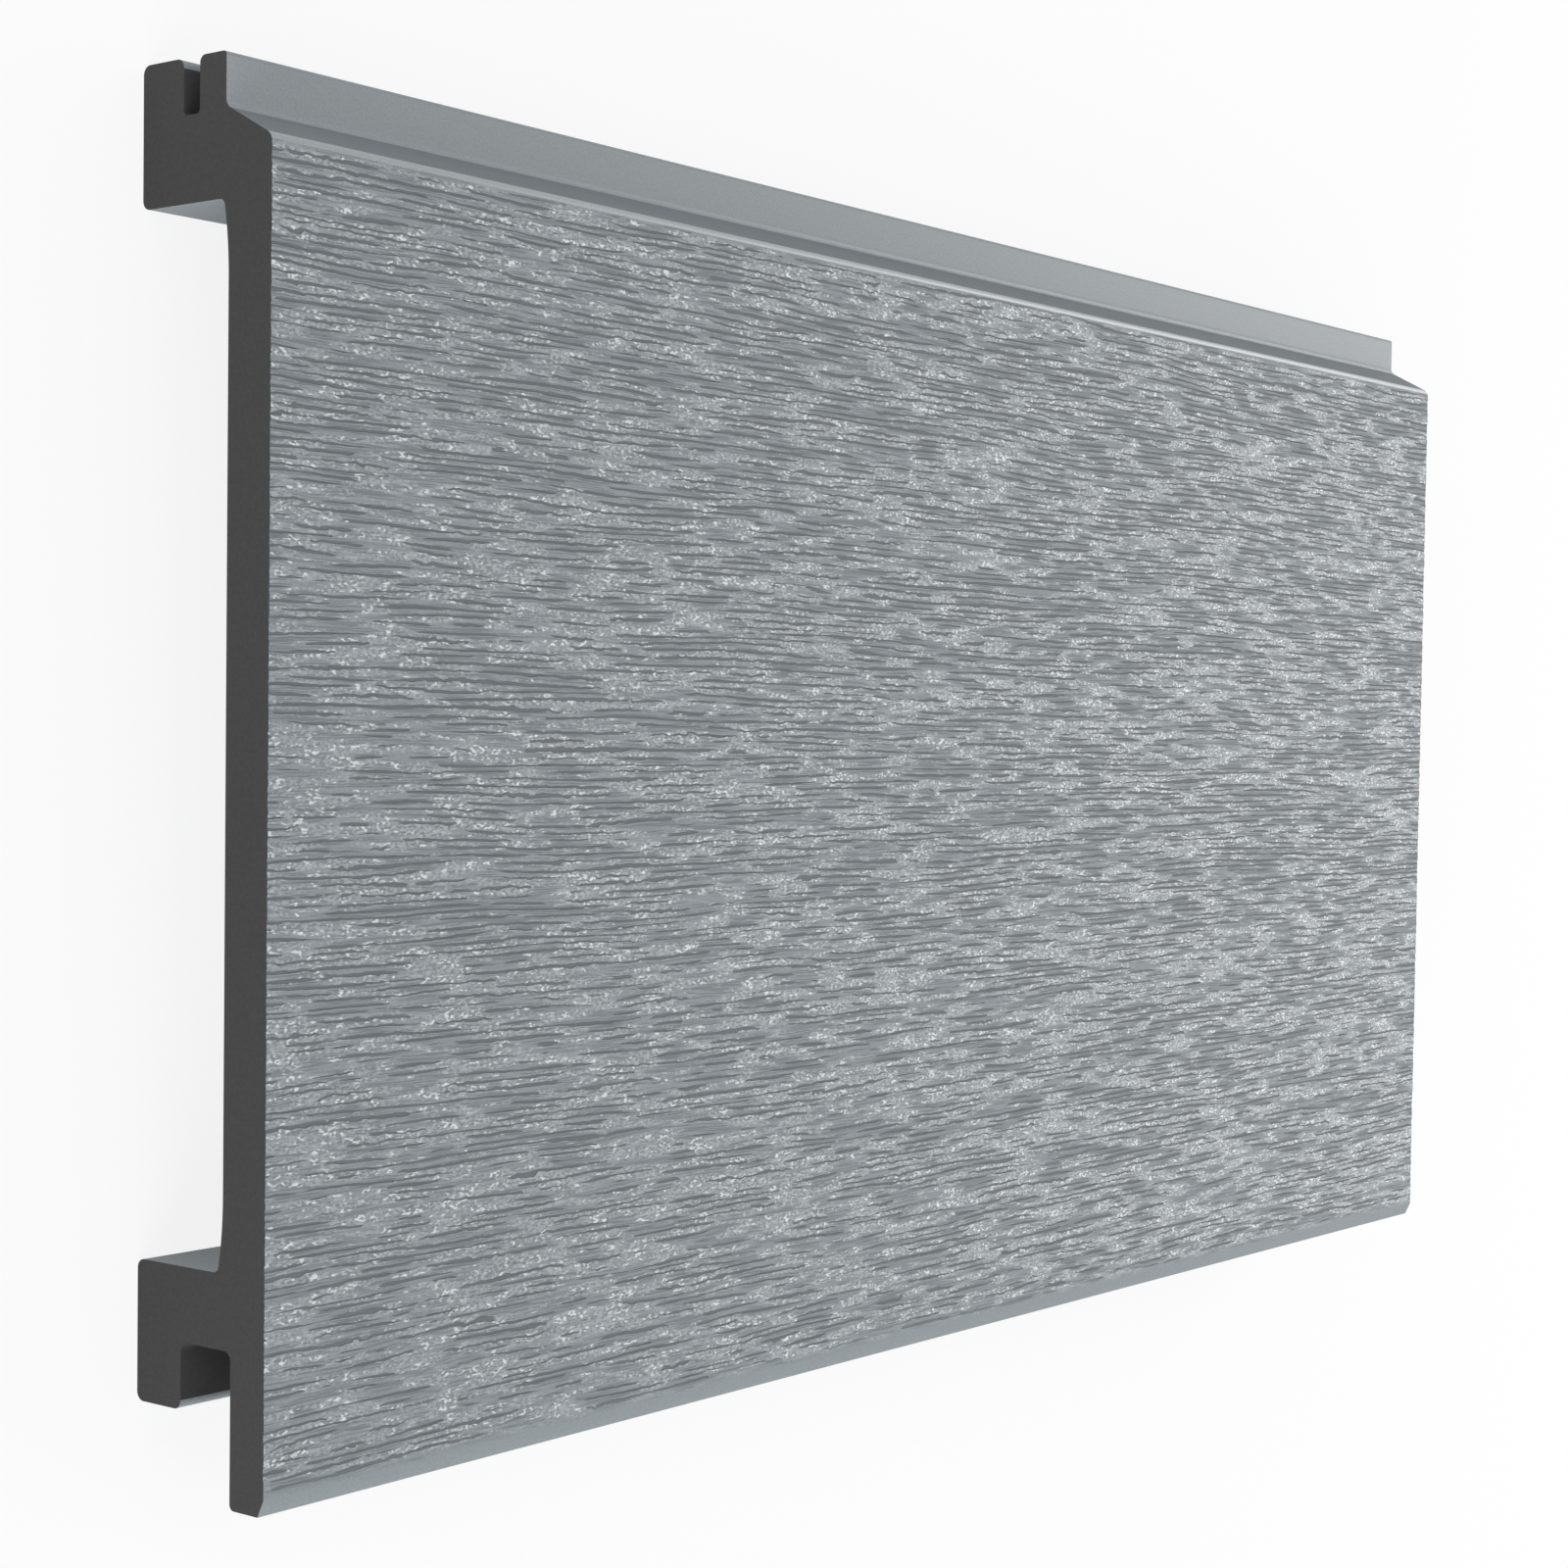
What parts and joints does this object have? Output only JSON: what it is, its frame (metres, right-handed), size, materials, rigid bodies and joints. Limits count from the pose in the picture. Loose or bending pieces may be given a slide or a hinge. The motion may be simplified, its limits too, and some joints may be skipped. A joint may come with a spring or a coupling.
{
  "type": "composite cladding board",
  "caption": "Length of solid composite cladding board with a wood-grain face, a slotted and tongued upper edge, and a grooved lower edge with a hanging lip.",
  "frame": {"origin": "middle of the underside, with the board lying on the backs of its two edge blocks", "axes": "+X along the board, +Y up the wall towards the tongue, +Z out of the wood-grain face"},
  "size_m": [0.26, 0.15, 0.02],
  "materials": {
    "composite": "embossed satin grey, dark at the sawn ends"
  },
  "bodies": {
    "root": {"board": "composite"}
  },
  "joints": []
}
